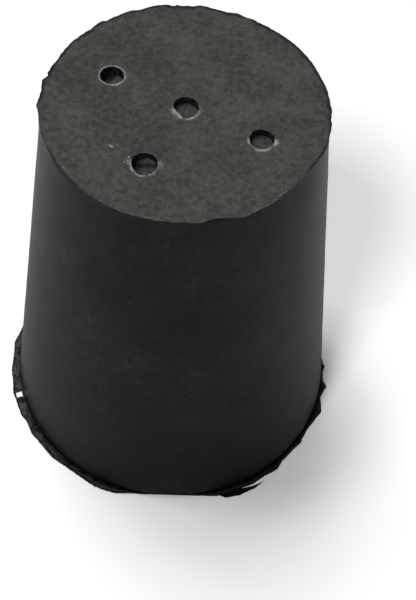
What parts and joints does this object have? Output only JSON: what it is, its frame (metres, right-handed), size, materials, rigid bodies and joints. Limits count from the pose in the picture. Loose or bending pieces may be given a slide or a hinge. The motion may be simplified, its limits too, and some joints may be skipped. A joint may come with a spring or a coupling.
{
  "type": "rubber stopper",
  "caption": "Solid tapered rubber stopper with needle holes in its small end and hand-trimmed moulding flash round its large end.",
  "frame": {"origin": "centre of the large face, where the centre bore opens", "axes": "+Z along the taper's axis from the large face to the small face; -Y is the side seen in the picture"},
  "size_m": [0.0252, 0.0245, 0.03],
  "materials": {
    "stopper": "black moulded rubber, matt mottled small face, satin wall, shiny flash"
  },
  "bodies": {
    "root": {"stopper": "stopper"}
  },
  "joints": []
}
